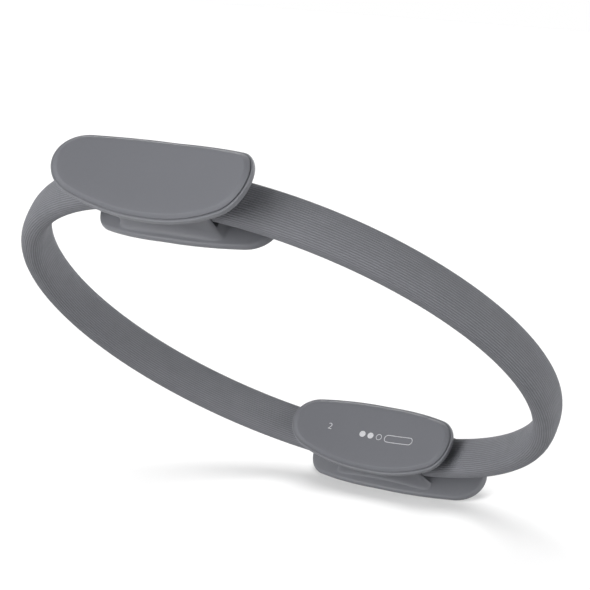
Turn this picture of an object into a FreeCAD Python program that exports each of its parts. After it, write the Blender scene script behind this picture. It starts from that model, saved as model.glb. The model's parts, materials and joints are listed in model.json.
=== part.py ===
"""Pilates ring: a springy hoop in two ribbed sleeves, with a padded double handle on each side.

The ring lies flat. Its axis is +Z, the handles stand on the X axis, and the origin is on the ring axis,
in the plane that the long sides of the outer plates rest on. Lengths are in millimetres.
Every piece of a handle is drawn for the right-hand handle, at +X, about the middle plane of the ring.
"""
import FreeCAD, Part
import math
import os

import Sketcher
from FreeCAD import Placement, Rotation, Vector

SIZES = {
    # The hoop and its sleeves.
    "ring_diameter": 380.0,          # over the sleeves
    "sleeve_depth": 16.6,            # along the radius
    "sleeve_width": 29.0,            # along the ring axis
    "sleeve_corner": 7.4,
    "strip_width": 20.0,
    "strip_thickness": 2.5,
    "splice_gap": 2.0,               # butt joint of a strip, hidden in a handle
    # The clamp inside a handle.
    "clip_sheet": 0.8,
    "clip_length": 40.0,
    "liner_thickness": 1.5,
    "clamp_length": 52.0,
    "sleeve_lap": 9.0,               # how far a sleeve reaches into the neck
    "neck_flare": 3.5,               # how much longer the neck is at its foot, at each end
    "screw_wall": 2.1,               # plastic on both sides of a screw hole
    "fit_clearance": 0.3,
    "glue_line": 0.1,
    # The plates and their soft skins.
    "outer_plate_length": 144.5,
    "outer_plate_thickness": 4.3,
    "outer_overhang": 7.6,           # past the neck, on each long side
    "outer_straight": 10.0,          # straight part of a long side
    "outer_curve_radius": 164.0,     # hollow of the outer face
    "outer_face_rise": 4.5,          # middle of the outer face, above the sleeve
    "inner_plate_length": 131.0,
    "inner_plate_thickness": 4.3,
    "inner_overhang": 6.4,
    "inner_straight": 10.0,
    "inner_face_drop": 15.0,         # inner face, below the sleeve
    "nose_ease": 5.7,                # half width of a plate less its end radius
    "skin_thickness": 3.5,
    "skin_inset": 1.5,               # rim of a plate that shows round its skin
    "skin_chamfer": 2.5,
    "trim_margin": 6.0,
    # The fasteners.
    "screw_diameter": 4.0,
    "screw_head_diameter": 7.5,
    "screw_head_height": 2.0,
    "screw_setback": 4.0,            # from the end of the clamp
    "socket_width": 2.5,
    "socket_depth": 1.2,
    "hole_clearance": 0.2,
    "nut_width": 7.0,
    "nut_height": 3.2,
    "nut_recess": 0.5,
}

# Radii of the hoop.
BAND = "(size.ring_diameter / 2)"
BORE = f"({BAND} - size.sleeve_depth)"
MID = f"({BAND} - size.sleeve_depth / 2)"

# Layers of the clamp, each measured from the middle radius: strips, clip, liner, seat.
STRIPS = "(size.fit_clearance / 2 + size.strip_thickness)"
CLIP_BORE = f"({STRIPS} + size.fit_clearance)"
CLIP = f"({CLIP_BORE} + size.clip_sheet)"
LINER_NEAR = f"({CLIP} + size.fit_clearance)"
LINER_FAR = f"({LINER_NEAR} + size.liner_thickness)"
SEAT = f"({LINER_FAR} + size.fit_clearance)"

# Widths along the ring axis, from the hoop outwards.
CLIP_BORE_WIDTH = "(size.strip_width + 2 * size.fit_clearance)"
CLIP_WIDTH = f"({CLIP_BORE_WIDTH} + 2 * size.clip_sheet)"
CLAMP_SLOT = f"({CLIP_WIDTH} + 2 * size.fit_clearance)"
SLEEVE_SLOT = "(size.sleeve_width + 2 * size.fit_clearance)"
HOLE = "(size.screw_diameter + 2 * size.hole_clearance)"
SCREW_ACROSS = f"({CLAMP_SLOT} / 2 + size.screw_wall + {HOLE} / 2)"
NECK_WIDTH = f"(2 * ({SCREW_ACROSS} + {HOLE} / 2 + size.screw_wall))"
OUTER_WIDTH = f"({NECK_WIDTH} + 2 * size.outer_overhang)"
INNER_WIDTH = f"({NECK_WIDTH} + 2 * size.inner_overhang)"
MIDDLE_PLANE = f"({OUTER_WIDTH} / 2)"

# Half lengths along the band.
CLAMP_HALF = "(size.clamp_length / 2)"
NECK_HALF = f"({CLAMP_HALF} + size.sleeve_lap)"
FLARE_HALF = f"({NECK_HALF} + size.neck_flare)"
CHANNEL_HALF = f"({FLARE_HALF} + size.trim_margin)"
SCREW_ALONG = f"({CLAMP_HALF} - size.screw_setback)"

# Outer handle surfaces: radii about a line outside the ring, so that the face is hollow.
OUTER_CENTRE = f"({BAND} + size.outer_face_rise + size.outer_curve_radius)"
OUTER_SKIN_BACK = "(size.outer_curve_radius + size.skin_thickness)"
OUTER_PLATE_TOP = f"({OUTER_SKIN_BACK} + size.glue_line)"
OUTER_PLATE_BACK = f"({OUTER_PLATE_TOP} + size.outer_plate_thickness)"
NECK_TOP = f"({OUTER_PLATE_BACK} + size.fit_clearance)"

# Inner handle surfaces: radii about the ring axis.
INNER_FACE = f"({BORE} - size.inner_face_drop)"
INNER_SKIN_BACK = f"({INNER_FACE} + size.skin_thickness)"
INNER_PLATE_TOP = f"({INNER_SKIN_BACK} + size.glue_line)"
INNER_PLATE_MID = f"({INNER_PLATE_TOP} + size.inner_plate_thickness / 2)"
INNER_PLATE_BACK = f"({INNER_PLATE_TOP} + size.inner_plate_thickness)"
CHANNEL_TOP = f"({BAND} + size.outer_face_rise)"

# Places of the fasteners along X.
HEAD_EDGE = f"({SCREW_ALONG} - size.screw_head_diameter / 2 - size.hole_clearance)"
HEAD_BORE = "(size.screw_head_diameter + 2 * size.hole_clearance)"
HEAD_TOP = f"({OUTER_CENTRE} - sqrt({OUTER_PLATE_TOP} ^ 2 - {HEAD_EDGE} ^ 2) - size.fit_clearance)"
HEAD_SEAT = f"({HEAD_TOP} - size.screw_head_height)"
NUT_CORNER = "(size.nut_width / sqrt(3))"
NUT_POCKET_CORNER = f"({NUT_CORNER} + size.hole_clearance)"
NUT_EDGE = f"({SCREW_ALONG} - {NUT_POCKET_CORNER})"
NUT_FACE = f"(sqrt({INNER_PLATE_TOP} ^ 2 - {NUT_EDGE} ^ 2) + size.nut_recess)"
NUT_SEAT = f"({NUT_FACE} + size.nut_height)"

ORIGIN_POINT = (-1, 1)
X_AXIS = -1
START, END, CENTRE = 1, 2, 3
SIDES = {"right": 1, "left": -1}
QUARTER_TURN = 90.0
HALF_TURN = 180.0
HEX_SIDES = 6
EDGE_SAMPLES = 5         # points of an edge that are tried when a face's rim is looked for
ON_FACE = 1e-4           # how near the face they must lie

doc = FreeCAD.newDocument("pilates_ring")
size = doc.addObject("Spreadsheet::Sheet", "size")
parts = []


def fill_sheet():
    """Write every driving dimension to the sheet, with its name as alias."""
    for row, (name, value) in enumerate(SIZES.items(), start=1):
        size.set(f"A{row}", name)
        size.set(f"B{row}", str(value))
        size.setAlias(f"B{row}", name)
    doc.recompute()


def number(expression):
    """Value of an expression over the sheet."""
    result = size.evalExpression(expression.replace("size.", ""))
    return float(getattr(result, "Value", result))


class Profile:
    """A sketch on an origin plane of its body, with every dimension bound to the sheet."""

    def __init__(self, body, name, role, lift=None):
        plane = next(item for item in body.Origin.OriginFeatures if item.Role == role)
        self.sketch = body.newObject("Sketcher::SketchObject", name)
        self.sketch.AttachmentSupport = [(plane, "")]
        self.sketch.MapMode = "FlatFace"
        if lift:
            self.sketch.setExpression("AttachmentOffset.Base.z", lift)

    def rule(self, kind, *where):
        """Add a constraint that has no value."""
        return self.sketch.addConstraint(Sketcher.Constraint(kind, *where))

    def bind(self, expression, kind, *where):
        """Add a constraint whose value is an expression."""
        index = self.sketch.addConstraint(Sketcher.Constraint(kind, *where, number(expression)))
        self.sketch.setExpression(f"Constraints[{index}]", expression)

    def place(self, expression, kind, geometry, point):
        """Set a point's distance from the origin along one axis, on the side that the expression gives."""
        if number(expression) < 0:
            self.bind(f"-({expression})", kind, geometry, point, *ORIGIN_POINT)
        else:
            self.bind(expression, kind, *ORIGIN_POINT, geometry, point)

    def line(self, start, end):
        """Add a straight line between two points."""
        return self.sketch.addGeometry(Part.LineSegment(Vector(*start, 0), Vector(*end, 0)))

    def arc(self, centre, radius, first, last):
        """Add a free arc, anticlockwise from one angle to another."""
        circle = Part.Circle(Vector(*centre, 0), Vector(0, 0, 1), radius)
        return self.sketch.addGeometry(Part.ArcOfCircle(circle, first, last))

    def span(self, centre, radius, low, high, facing=1):
        """Add an arc about a point of the X axis, cut off at two heights.

        It returns the arc with its lower and its upper end as points and as constraint positions.
        """
        middle, reach = number(centre), number(radius)
        heights = (number(low), number(high))
        tilts = [math.asin(height / reach) for height in heights]
        ends = [(middle + facing * reach * math.cos(tilt), reach * math.sin(tilt)) for tilt in tilts]
        if facing > 0:
            item = self.arc((middle, 0), reach, tilts[0], tilts[1])
            positions = (START, END)
        else:
            item = self.arc((middle, 0), reach, math.pi - tilts[1], math.pi - tilts[0])
            positions = (END, START)
        if centre == "0":
            self.rule("Coincident", item, CENTRE, *ORIGIN_POINT)
        else:
            self.rule("PointOnObject", item, CENTRE, X_AXIS)
            self.bind(centre, "DistanceX", *ORIGIN_POINT, item, CENTRE)
        self.bind(radius, "Radius", item)
        for height, position in zip((low, high), positions):
            self.place(height, "DistanceY", item, position)
        return item, ends, positions

    def between(self, first, second):
        """Close the region between two spans with straight lines."""
        one, two = self.span(*first), self.span(*second)
        for end in (0, 1):
            side = self.line(one[1][end], two[1][end])
            self.rule("Coincident", side, START, one[0], one[2][end])
            self.rule("Coincident", side, END, two[0], two[2][end])

    def rectangle(self, left, right, half_height):
        """Add a rectangle that is even about the horizontal axis."""
        x_low, x_high, top = number(left), number(right), number(half_height)
        corners = [(x_low, -top), (x_high, -top), (x_high, top), (x_low, top)]
        sides = [self.line(corners[k], corners[(k + 1) % 4]) for k in range(4)]
        for k, side in enumerate(sides):
            self.rule("Coincident", side, END, sides[(k + 1) % 4], START)
            self.rule("Vertical" if k % 2 else "Horizontal", side)
        self.place(left, "DistanceX", sides[0], START)
        self.place(right, "DistanceX", sides[1], START)
        self.place(f"-{half_height}", "DistanceY", sides[0], START)
        self.place(half_height, "DistanceY", sides[2], START)

    def rounded_rectangle(self, left, right, half_height, corner):
        """Add a rectangle with round corners that is even about the horizontal axis."""
        x_low, x_high, top, radius = (number(item) for item in (left, right, half_height, corner))
        inner_x = (x_low + radius, x_high - radius)
        inner_y = top - radius
        sides = [
            self.line((inner_x[0], -top), (inner_x[1], -top)),
            self.line((x_high, -inner_y), (x_high, inner_y)),
            self.line((inner_x[1], top), (inner_x[0], top)),
            self.line((x_low, inner_y), (x_low, -inner_y)),
        ]
        centres = [
            (inner_x[1], -inner_y),
            (inner_x[1], inner_y),
            (inner_x[0], inner_y),
            (inner_x[0], -inner_y),
        ]
        for k, centre in enumerate(centres):
            bend = self.arc(centre, radius, (k - 1) * math.pi / 2, k * math.pi / 2)
            self.rule("Tangent", sides[k], END, bend, START)
            self.rule("Tangent", bend, END, sides[(k + 1) % 4], START)
            self.bind(corner, "Radius", bend)
            self.rule("Vertical" if k % 2 else "Horizontal", sides[k])
        self.place(right, "DistanceX", sides[1], START)
        self.place(left, "DistanceX", sides[3], START)
        self.place(f"-{half_height}", "DistanceY", sides[0], START)
        self.place(half_height, "DistanceY", sides[2], START)

    def oval(self, half_length, half_width, half_straight, nose):
        """Add a pad outline: straight sides, shoulder arcs and a round nose at each end, all tangent."""
        reach, top, flat, radius = (number(item) for item in (half_length, half_width, half_straight, nose))
        nose_x = reach - radius
        run = nose_x - flat
        shoulder = (run ** 2 + top ** 2 - radius ** 2) / (2 * (top - radius))
        turn = math.atan2(shoulder - top, run)
        right, up, left = 0.0, math.pi / 2, math.pi
        loop = [
            self.line((-flat, -top), (flat, -top)),
            self.arc((flat, shoulder - top), shoulder, -up, right - turn),
            self.arc((nose_x, 0), radius, -turn, turn),
            self.arc((flat, top - shoulder), shoulder, turn, up),
            self.line((flat, top), (-flat, top)),
            self.arc((-flat, top - shoulder), shoulder, up, left - turn),
            self.arc((-nose_x, 0), radius, left - turn, left + turn),
            self.arc((-flat, shoulder - top), shoulder, left + turn, left + up),
        ]
        for k, item in enumerate(loop):
            self.rule("Tangent", item, END, loop[(k + 1) % len(loop)], START)
        bottom_line, right_nose, top_line, left_nose = loop[0], loop[2], loop[4], loop[6]
        for side, height in ((bottom_line, f"-{half_width}"), (top_line, half_width)):
            self.rule("Horizontal", side)
            self.place(height, "DistanceY", side, START)
        for side, first in ((bottom_line, "-"), (top_line, "")):
            second = "" if first else "-"
            self.place(f"{first}{half_straight}", "DistanceX", side, START)
            self.place(f"{second}{half_straight}", "DistanceX", side, END)
        for item, sign in ((right_nose, ""), (left_nose, "-")):
            self.rule("PointOnObject", item, CENTRE, X_AXIS)
            self.place(f"{sign}({half_length} - {nose})", "DistanceX", item, CENTRE)
            self.bind(nose, "Radius", item)

    def circles(self, centres, diameter):
        """Add round holes of one diameter at the given places."""
        for along, across in centres:
            place = Vector(number(along), number(across), 0)
            item = self.sketch.addGeometry(Part.Circle(place, Vector(0, 0, 1), number(diameter) / 2))
            self.bind(diameter, "Diameter", item)
            self.place(along, "DistanceX", item, CENTRE)
            self.place(across, "DistanceY", item, CENTRE)

    def hexagons(self, centres, corner):
        """Add hexagons of one corner radius at the given places, each with two flats along the band."""
        step = 2 * math.pi / HEX_SIDES
        radius = number(corner)
        for along, across in centres:
            middle = Vector(number(along), number(across), 0)
            ring = self.sketch.addGeometry(Part.Circle(middle, Vector(0, 0, 1), radius), True)
            self.bind(corner, "Radius", ring)
            self.place(along, "DistanceX", ring, CENTRE)
            self.place(across, "DistanceY", ring, CENTRE)
            spots = [
                (middle.x + radius * math.cos(k * step), middle.y + radius * math.sin(k * step))
                for k in range(HEX_SIDES)
            ]
            sides = [self.line(spots[k], spots[(k + 1) % HEX_SIDES]) for k in range(HEX_SIDES)]
            for k, side in enumerate(sides):
                self.rule("Coincident", side, END, sides[(k + 1) % HEX_SIDES], START)
                self.rule("PointOnObject", side, START, ring)
            for side in sides[1:]:
                self.rule("Equal", sides[0], side)
            self.rule("Horizontal", sides[1])


def add_body(label, turn):
    """Start a sub-part that stands on the middle plane, turned about the ring axis."""
    body = doc.addObject("PartDesign::Body", label)
    body.Label = label
    body.Placement = Placement(Vector(0, 0, number(MIDDLE_PLANE)), Rotation(Vector(0, 0, 1), turn))
    body.setExpression("Placement.Base.z", MIDDLE_PLANE)
    parts.append(body)
    return body


def handle_turn(side):
    """Angle of a handle about the ring axis."""
    return 0.0 if SIDES[side] > 0 else HALF_TURN


def pad(body, profile, width):
    """Thicken a profile evenly on both sides of its plane."""
    feature = body.newObject("PartDesign::Pad", "pad")
    feature.Profile = profile.sketch
    feature.SideType = "Symmetric"
    feature.setExpression("Length", width)
    return feature


def slot(body, profile, width):
    """Cut a profile evenly on both sides of its plane."""
    feature = body.newObject("PartDesign::Pocket", "slot")
    feature.Profile = profile.sketch
    feature.SideType = "Symmetric"
    feature.setExpression("Length", width)
    return feature


def bore(body, profile, outwards):
    """Cut a profile through everything, away from the ring axis or towards it."""
    feature = body.newObject("PartDesign::Pocket", "bore")
    feature.Profile = profile.sketch
    feature.Type = "ThroughAll"
    feature.Reversed = outwards
    return feature


def revolve(body, profile, angle):
    """Turn a section about the ring axis, evenly on both sides of its plane."""
    feature = body.newObject("PartDesign::Revolution", "turn")
    feature.Profile = profile.sketch
    feature.ReferenceAxis = (profile.sketch, ["V_Axis"])
    feature.Midplane = True
    feature.setExpression("Angle", angle)
    return feature


def arc_angle(length, radius):
    """Angle about the ring axis of a chord of a given length."""
    return f"2 * asin({length} / 2 / {radius})"


def make_strip(label, near, far, turn):
    """Spring strip: a hoop of flat section with one butt joint."""
    body = add_body(label, turn)
    section = Profile(body, "section", "XZ_Plane")
    section.rectangle(near, far, "(size.strip_width / 2)")
    revolve(body, section, f"360 deg - {arc_angle('size.splice_gap', MID)}")


def make_sleeve(label, turn):
    """Soft sleeve over half of the hoop, from one handle to the other."""
    body = add_body(label, turn)
    section = Profile(body, "section", "XZ_Plane")
    section.rounded_rectangle(BORE, BAND, "(size.sleeve_width / 2)", "size.sleeve_corner")
    section.rectangle(f"({MID} - {CLIP_BORE})", f"({MID} + {CLIP_BORE})", f"({CLIP_BORE_WIDTH} / 2)")
    clear = arc_angle("(size.clamp_length + 2 * size.fit_clearance)", BORE)
    revolve(body, section, f"180 deg - {clear}")


def make_clip(side):
    """Splice clip: a folded metal sleeve round both strips, over a butt joint."""
    body = add_body(f"{side}_splice_clip", handle_turn(side))
    section = Profile(body, "section", "XZ_Plane")
    section.rectangle(f"({MID} - {CLIP})", f"({MID} + {CLIP})", f"({CLIP_WIDTH} / 2)")
    section.rectangle(f"({MID} - {CLIP_BORE})", f"({MID} + {CLIP_BORE})", f"({CLIP_BORE_WIDTH} / 2)")
    revolve(body, section, arc_angle("size.clip_length", MID))


def make_liner(side, layer, near, far):
    """Rubber liner between the clip and a seat of the clamp."""
    body = add_body(f"{side}_{layer}_liner", handle_turn(side))
    section = Profile(body, "section", "XZ_Plane")
    section.rectangle(near, far, f"({CLIP_WIDTH} / 2)")
    revolve(body, section, arc_angle("size.clamp_length", f"({MID} + {LINER_FAR})"))


def trim_to_oval(body, half_length, half_width, half_straight, inset):
    """Cut a plate or a skin to its pad outline, seen along the radius."""
    trim = Profile(body, "outline", "YZ_Plane")
    trim.oval(f"({half_length} - {inset})", f"({half_width} - {inset})", half_straight,
              f"({half_width} - size.nose_ease - {inset})")
    reach = f"({half_length} + 2 * size.trim_margin)"
    trim.rectangle(f"-{reach}", reach, f"({half_width} + 2 * size.trim_margin)")
    return bore(body, trim, True)


def outer_slab(body, first, second, inset):
    """Curved plate of the outer handle, hollow outwards, between two radii."""
    reach = "(size.outer_plate_length / 2 + size.trim_margin)"
    slab = Profile(body, "side_view", "XY_Plane")
    slab.between((OUTER_CENTRE, first, f"-{reach}", reach, -1),
                 (OUTER_CENTRE, second, f"-{reach}", reach, -1))
    pad(body, slab, f"{OUTER_WIDTH} + 2 * size.trim_margin")
    return trim_to_oval(body, "(size.outer_plate_length / 2)", f"({OUTER_WIDTH} / 2)",
                        "(size.outer_straight / 2)", inset)


def inner_slab(body, first, second, inset):
    """Curved plate of the inner handle, hollow towards the ring axis, between two radii."""
    reach = "(size.inner_plate_length / 2 + size.trim_margin)"
    slab = Profile(body, "side_view", "XY_Plane")
    slab.between(("0", first, f"-{reach}", reach), ("0", second, f"-{reach}", reach))
    pad(body, slab, f"{INNER_WIDTH} + 2 * size.trim_margin")
    return trim_to_oval(body, "(size.inner_plate_length / 2)", f"({INNER_WIDTH} / 2)",
                        "(size.inner_straight / 2)", inset)


def ease_face(body, base, centre, radius):
    """Chamfer the rim of a skin's face, which lies on a cylinder about a line along the ring axis."""
    doc.recompute()
    middle, reach = number(centre), number(radius)

    def on_face(edge):
        points = edge.discretize(EDGE_SAMPLES)
        return all(abs(math.hypot(point.x - middle, point.y) - reach) < ON_FACE for point in points)

    names = [f"Edge{index}" for index, edge in enumerate(base.Shape.Edges, start=1) if on_face(edge)]
    chamfer = body.newObject("PartDesign::Chamfer", "eased_rim")
    chamfer.Base = (base, names)
    chamfer.setExpression("Size", "size.skin_chamfer")


def screw_places():
    """Places of a handle's four screws, along and across the band."""
    return [(f"{a}{SCREW_ALONG}", f"{b}{SCREW_ACROSS}") for a in ("-", "") for b in ("-", "")]


def cut_sleeve_channels(body, floor, top):
    """Cut the two channels, one at each end of the clamp, that the sleeves reach into."""
    for sign in ("", "-"):
        low, high = (CLAMP_HALF, CHANNEL_HALF) if not sign else (f"-{CHANNEL_HALF}", f"-{CLAMP_HALF}")
        channel = Profile(body, "sleeve_channel", "XY_Plane")
        channel.between(("0", floor, low, high), ("0", top, low, high))
        slot(body, channel, SLEEVE_SLOT)


def make_outer_plate(side):
    """Outer plate: hollow plate, lid of the clamp, with sunk screw heads."""
    body = add_body(f"{side}_outer_plate", handle_turn(side))
    outer_slab(body, OUTER_PLATE_TOP, OUTER_PLATE_BACK, "0")
    seat = f"({MID} + {SEAT})"
    lid = Profile(body, "lid", "XY_Plane")
    lid.between(("0", seat, f"-{CLAMP_HALF}", CLAMP_HALF),
                (OUTER_CENTRE, OUTER_PLATE_TOP, f"-{CLAMP_HALF}", CLAMP_HALF, -1))
    pad(body, lid, CLIP_WIDTH)
    relief = Profile(body, "relief", "XY_Plane")
    relief.between(("0", MID, f"-{CLAMP_HALF}", CLAMP_HALF), ("0", seat, f"-{CLAMP_HALF}", CLAMP_HALF))
    slot(body, relief, CLAMP_SLOT)
    cut_sleeve_channels(body, MID, f"({BAND} + size.fit_clearance)")
    holes = Profile(body, "screw_holes", "YZ_Plane")
    holes.circles(screw_places(), HOLE)
    bore(body, holes, True)
    heads = Profile(body, "head_recesses", "YZ_Plane", lift=HEAD_SEAT)
    heads.circles(screw_places(), HEAD_BORE)
    bore(body, heads, True)


def make_inner_saddle(side):
    """Inner saddle: plate with the flared neck that grips the band, and pockets for the nuts."""
    body = add_body(f"{side}_inner_saddle", handle_turn(side))
    inner_slab(body, INNER_PLATE_TOP, INNER_PLATE_BACK, "0")
    neck = Profile(body, "neck", "XY_Plane")
    neck.between(("0", INNER_PLATE_MID, f"-{FLARE_HALF}", FLARE_HALF),
                 (OUTER_CENTRE, NECK_TOP, f"-{NECK_HALF}", NECK_HALF, -1))
    pad(body, neck, NECK_WIDTH)
    clamp = Profile(body, "clamp_channel", "XY_Plane")
    clamp.between(("0", f"({MID} - {SEAT})", f"-{CHANNEL_HALF}", CHANNEL_HALF),
                  ("0", CHANNEL_TOP, f"-{CHANNEL_HALF}", CHANNEL_HALF))
    slot(body, clamp, CLAMP_SLOT)
    cut_sleeve_channels(body, f"({BORE} - size.fit_clearance)", CHANNEL_TOP)
    holes = Profile(body, "screw_holes", "YZ_Plane")
    holes.circles(screw_places(), HOLE)
    bore(body, holes, True)
    pockets = Profile(body, "nut_pockets", "YZ_Plane", lift=f"({NUT_SEAT} + size.fit_clearance)")
    pockets.hexagons(screw_places(), NUT_POCKET_CORNER)
    bore(body, pockets, False)


def make_outer_pad(side):
    """Outer pad: soft skin on the outer plate, with an eased rim."""
    body = add_body(f"{side}_outer_pad", handle_turn(side))
    skin = outer_slab(body, "size.outer_curve_radius", OUTER_SKIN_BACK, "size.skin_inset")
    ease_face(body, skin, OUTER_CENTRE, "size.outer_curve_radius")


def make_inner_pad(side):
    """Inner pad: soft skin on the inner saddle, with an eased rim."""
    body = add_body(f"{side}_inner_pad", handle_turn(side))
    skin = inner_slab(body, INNER_FACE, INNER_SKIN_BACK, "size.skin_inset")
    ease_face(body, skin, "0", INNER_FACE)


def stand_on_x(item, side, x_place, along, across):
    """Turn an upright primitive so that it points away from the ring axis, at a place of a handle.

    The quarter turn about its own axis lets a hexagon keep two flats along the band, as its pocket does.
    """
    sign = SIDES[side]
    outwards = Rotation(Vector(0, 1, 0), sign * QUARTER_TURN)
    item.Placement = Placement(Vector(0, 0, 0), outwards.multiply(Rotation(Vector(0, 0, 1), QUARTER_TURN)))
    item.setExpression("Placement.Base.x", f"{sign} * {x_place}")
    item.setExpression("Placement.Base.y", f"{sign} * ({along})")
    item.setExpression("Placement.Base.z", f"{MIDDLE_PLANE} + ({across})")


def add_cylinder(side, x_place, length, diameter, along, across):
    """Add a cylinder along the radius of a handle."""
    item = doc.addObject("Part::Cylinder", "round")
    item.setExpression("Radius", f"{diameter} / 2")
    item.setExpression("Height", length)
    stand_on_x(item, side, x_place, along, across)
    return item


def add_prism(side, x_place, length, width, along, across):
    """Add a hexagonal prism of a given width across its flats along the radius of a handle."""
    item = doc.addObject("Part::Prism", "hexagon")
    item.Polygon = HEX_SIDES
    item.setExpression("Circumradius", f"{width} / sqrt(3)")
    item.setExpression("Height", length)
    stand_on_x(item, side, x_place, along, across)
    return item


def add_cut(base, tool):
    """Cut one object with another."""
    item = doc.addObject("Part::Cut", "cut")
    item.Base = base
    item.Tool = tool
    return item


def add_group(label, items):
    """Keep like pieces as one sub-part."""
    group = doc.addObject("Part::Compound", label)
    group.Label = label
    group.Links = items
    parts.append(group)


def make_screws(side):
    """Clamp screws: low round heads with hexagon sockets, from the outer plate down to the nuts."""
    items = []
    for along, across in screw_places():
        reach = f"{HEAD_SEAT} - {NUT_FACE}"
        floor = f"({HEAD_TOP} - size.socket_depth)"
        whole = doc.addObject("Part::Fuse", "screw")
        whole.Base = add_cylinder(side, NUT_FACE, reach, "size.screw_diameter", along, across)
        whole.Tool = add_cylinder(side, HEAD_SEAT, "size.screw_head_height", "size.screw_head_diameter",
                                  along, across)
        socket = add_prism(side, floor, "size.socket_depth", "size.socket_width", along, across)
        items.append(add_cut(whole, socket))
    add_group(f"{side}_clamp_screws", items)


def make_nuts(side):
    """Nuts in the pockets of the inner saddle."""
    items = []
    for along, across in screw_places():
        block = add_prism(side, NUT_FACE, "size.nut_height", "size.nut_width", along, across)
        thread = add_cylinder(side, NUT_FACE, "size.nut_height", HOLE, along, across)
        items.append(add_cut(block, thread))
    add_group(f"{side}_clamp_nuts", items)


def build():
    """Build every sub-part."""
    fill_sheet()
    half_gap = "size.fit_clearance / 2"
    make_strip("inner_spring_strip", f"({MID} - {STRIPS})", f"({MID} - {half_gap})", 0.0)
    make_strip("outer_spring_strip", f"({MID} + {half_gap})", f"({MID} + {STRIPS})", HALF_TURN)
    make_sleeve("rear_sleeve", QUARTER_TURN)
    make_sleeve("front_sleeve", -QUARTER_TURN)
    for side in SIDES:
        make_clip(side)
        make_liner(side, "inner", f"({MID} - {LINER_FAR})", f"({MID} - {LINER_NEAR})")
        make_liner(side, "outer", f"({MID} + {LINER_NEAR})", f"({MID} + {LINER_FAR})")
        make_inner_saddle(side)
        make_inner_pad(side)
        make_outer_plate(side)
        make_outer_pad(side)
        make_screws(side)
        make_nuts(side)
    doc.recompute()


def check():
    """Stop if any object failed or any sub-part has no sound shape."""
    for item in doc.Objects:
        if "Invalid" in item.State or "Error" in item.State:
            raise RuntimeError(f"{item.Label} failed: {item.State}")
    for item in parts:
        if item.Shape.isNull() or not item.Shape.isValid():
            raise RuntimeError(f"{item.Label} has no sound shape")


def write():
    """Write every sub-part to its own file."""
    os.makedirs("parts", exist_ok=True)
    for item in parts:
        item.Shape.exportStep(f"parts/{item.Label}.step")
        print(f"{item.Label}: {len(item.Shape.Solids)} solids, {item.Shape.Volume / 1000:.2f} cm3")


build()
check()
write()
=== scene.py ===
"""Pilates ring in a plain studio.

A springy hoop in two ribbed sleeves carries a padded double handle on each side. The CAD frame gives every
piece its place. This script gives the sleeves, pads and shells their finished forms, and every surface its
finish. Lengths are in metres, in the frame of the CAD model: the ring axis is +Z and the handles stand on X.
"""
import json
import logging
import math
from dataclasses import dataclass, field
from enum import Enum
from functools import cached_property
from typing import Callable, Iterable, NamedTuple, Sequence

import bmesh
import bpy
from bmesh.types import BMEdge, BMesh, BMFace, BMVert
from mathutils import Matrix, Vector
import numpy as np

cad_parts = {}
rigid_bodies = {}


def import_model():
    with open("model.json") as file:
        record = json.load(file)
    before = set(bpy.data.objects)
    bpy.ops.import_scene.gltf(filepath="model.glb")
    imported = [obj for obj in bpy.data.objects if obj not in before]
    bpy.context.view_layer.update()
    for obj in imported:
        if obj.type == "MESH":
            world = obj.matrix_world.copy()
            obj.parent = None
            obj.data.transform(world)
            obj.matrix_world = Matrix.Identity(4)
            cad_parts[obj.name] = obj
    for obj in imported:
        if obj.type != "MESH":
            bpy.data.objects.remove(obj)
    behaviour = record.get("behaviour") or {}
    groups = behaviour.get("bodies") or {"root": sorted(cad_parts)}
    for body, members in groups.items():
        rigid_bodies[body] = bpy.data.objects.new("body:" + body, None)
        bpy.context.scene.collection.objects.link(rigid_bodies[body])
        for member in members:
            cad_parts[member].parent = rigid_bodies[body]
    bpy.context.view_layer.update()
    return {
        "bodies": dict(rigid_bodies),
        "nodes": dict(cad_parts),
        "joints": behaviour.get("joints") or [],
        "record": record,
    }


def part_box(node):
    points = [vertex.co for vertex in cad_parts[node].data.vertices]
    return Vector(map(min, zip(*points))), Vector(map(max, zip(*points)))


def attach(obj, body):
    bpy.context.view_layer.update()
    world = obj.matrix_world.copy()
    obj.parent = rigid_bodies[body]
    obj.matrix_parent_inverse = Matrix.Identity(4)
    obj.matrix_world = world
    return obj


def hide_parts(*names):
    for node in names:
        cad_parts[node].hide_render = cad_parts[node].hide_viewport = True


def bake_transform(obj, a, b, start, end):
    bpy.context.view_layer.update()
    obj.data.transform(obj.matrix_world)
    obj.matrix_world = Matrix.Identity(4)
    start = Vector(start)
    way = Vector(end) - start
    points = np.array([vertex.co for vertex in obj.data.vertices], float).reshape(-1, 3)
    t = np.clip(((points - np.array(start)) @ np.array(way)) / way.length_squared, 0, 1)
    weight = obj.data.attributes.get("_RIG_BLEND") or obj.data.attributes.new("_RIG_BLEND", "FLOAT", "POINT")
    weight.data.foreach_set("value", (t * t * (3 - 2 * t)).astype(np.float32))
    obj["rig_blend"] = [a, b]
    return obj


log = logging.getLogger("pilates_ring")

MM = 0.001
SHARP_ANGLE = math.radians(38.0)
MERGE_DISTANCE = 1e-6
ORIGIN = Vector((0.0, 0.0, 0.0))
ALONG = Vector((1.0, 0.0, 0.0))
ACROSS = Vector((0.0, 1.0, 0.0))
UPWARDS = Vector((0.0, 0.0, 1.0))
WHITE = (1.0, 1.0, 1.0, 1.0)
WEAR = "wear"
GROOVE = "groove"

Colour = tuple[float, float, float]
Range = tuple[float, float]
Socket = bpy.types.NodeSocket
Source = Socket | float | Sequence[float]
Material = bpy.types.Material
Piece = bpy.types.Object
Move = Callable[[Vector], Vector]


class Body(Enum):
    """Moving bodies of the CAD frame."""

    HOOP = "hoop"
    RIGHT_HANDLE = "right_handle"


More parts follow.
